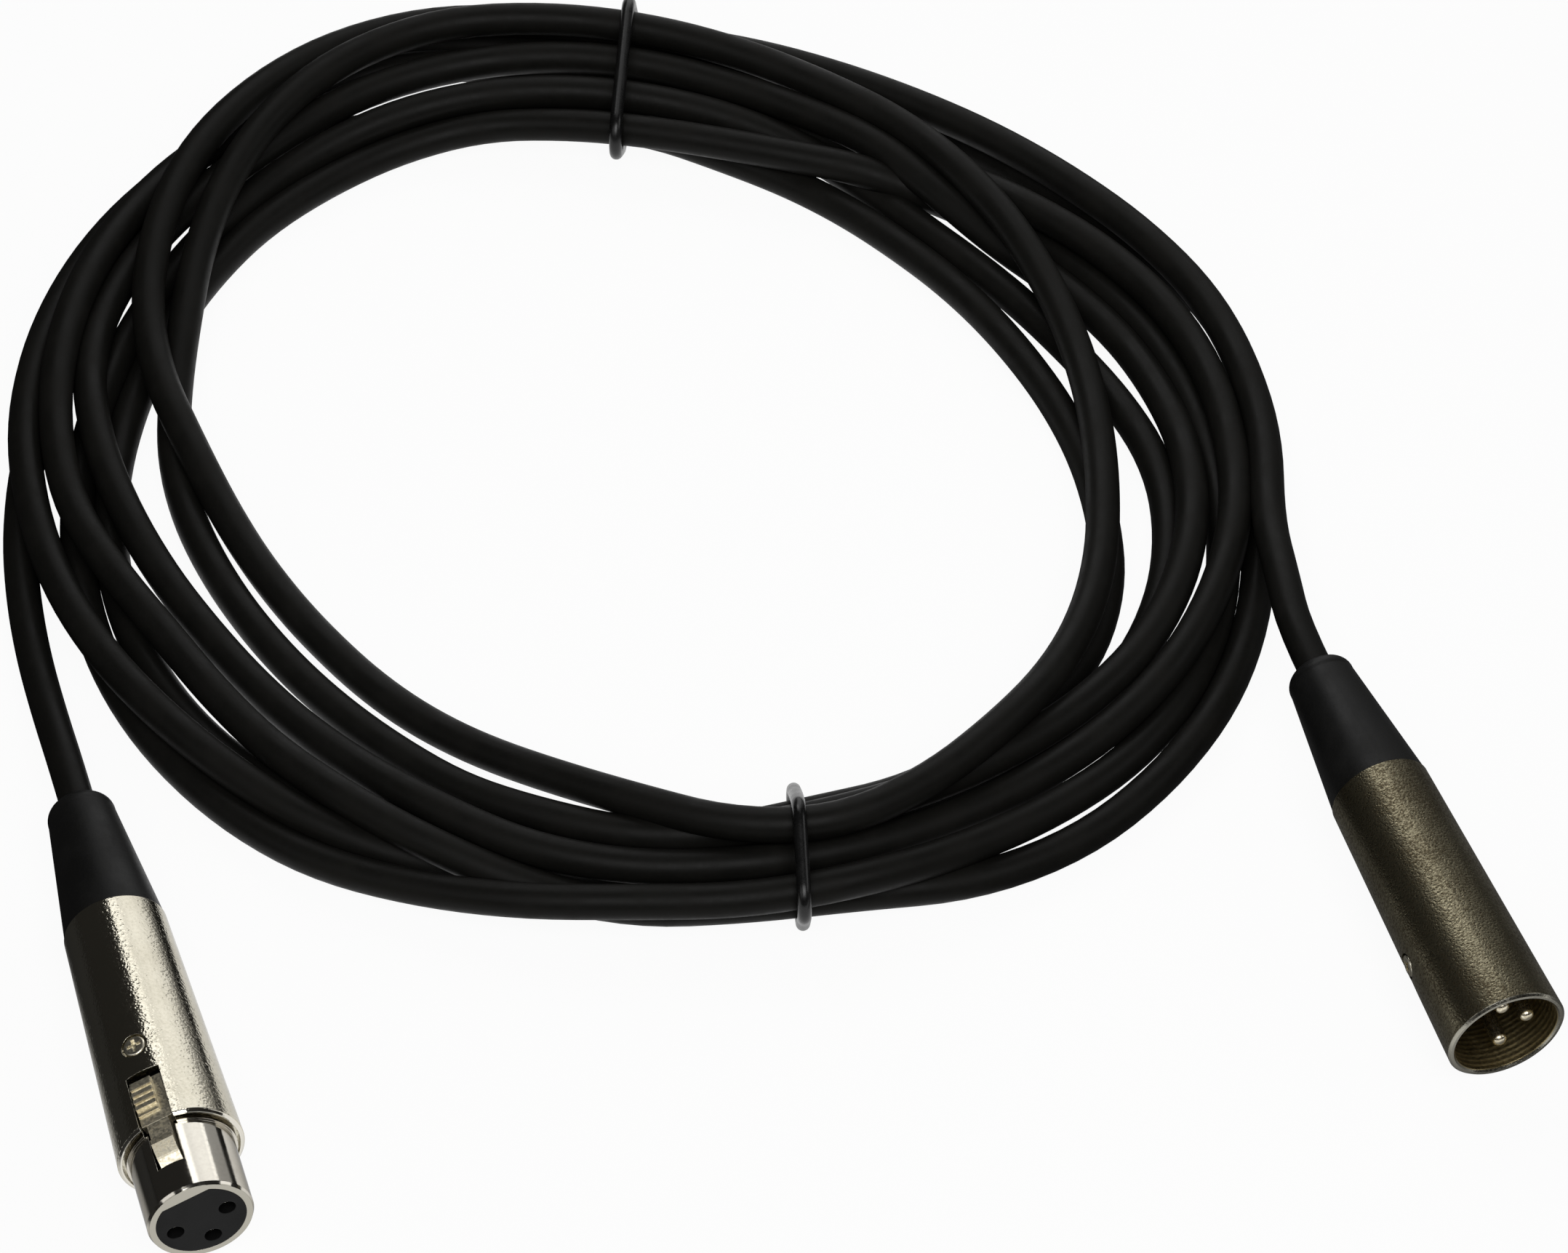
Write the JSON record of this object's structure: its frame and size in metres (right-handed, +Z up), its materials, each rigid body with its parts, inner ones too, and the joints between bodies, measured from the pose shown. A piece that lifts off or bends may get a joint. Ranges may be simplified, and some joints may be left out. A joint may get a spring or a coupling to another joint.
{
  "type": "xlr cable coil",
  "caption": "Coiled and tied microphone cable with a latching socket connector at one end and a pin connector at the other, for balanced audio.",
  "frame": {"origin": "on the surface the cable lies on, under the middle of the box round the two connectors", "axes": "+Z up; +X from the female connector towards the male one; the coil lies on the +Y side and both mating ends point to -Y"},
  "size_m": [0.2447, 0.2658, 0.0197],
  "materials": {
    "satin_nickel": "satin nickel plate",
    "cast_nickel": "dark nickel plate with a fine grain",
    "bright_nickel": "bright nickel plate",
    "latch_metal": "dull nickel plate",
    "spring_steel": "plain",
    "insert_plastic": "moulded black",
    "contact_plating": "plated",
    "pin_plating": "silver plated, slightly warm",
    "screw_metal": "nickel plate",
    "boot_rubber": "matt black",
    "cable_jacket": "matt black",
    "clamp_plastic": "moulded",
    "wire_red": "smooth",
    "wire_clear": "smooth",
    "wire_screen": "twisted copper",
    "tie_plastic": "glossy black"
  },
  "bodies": {
    "cable": {"female_shell": "satin_nickel", "female_nose": "bright_nickel", "female_insert": "insert_plastic", "female_insert_face": "insert_plastic", "female_contact_1": "contact_plating", "female_contact_2": "contact_plating", "female_contact_3": "contact_plating", "female_latch_pin": "spring_steel", "female_screw": "screw_metal", "female_boot": "boot_rubber", "female_clamp": "clamp_plastic", "female_cable_end": "cable_jacket", "female_wire_1": "wire_red", "female_wire_2": "wire_clear", "female_wire_3": "wire_screen", "male_screw": "screw_metal", "male_boot": "boot_rubber", "male_clamp": "clamp_plastic", "male_cable_end": "cable_jacket", "male_wire_1": "wire_red", "male_wire_2": "wire_clear", "male_wire_3": "wire_screen", "male_shell": "cast_nickel", "male_insert": "insert_plastic", "male_pin_1": "pin_plating", "male_pin_2": "pin_plating", "male_pin_3": "pin_plating", "cable_coil": "cable_jacket", "cable_tail_female": "cable_jacket", "cable_tail_male": "cable_jacket", "tie_top": "tie_plastic", "tie_bottom": "tie_plastic"},
    "latch": {"female_latch": "latch_metal", "female_latch_spring": "spring_steel"}
  },
  "joints": [
    {"name": "latch_press", "type": "hinge", "parent": "cable", "child": "latch", "pos_m": [-0.08879, -0.0487, 0.01502], "axis": [-0.8958, -0.284, -0.3418], "range_deg": [0, 8], "stiffness_Nm_per_rad": 0.1, "springref_deg": -14.32}
  ]
}
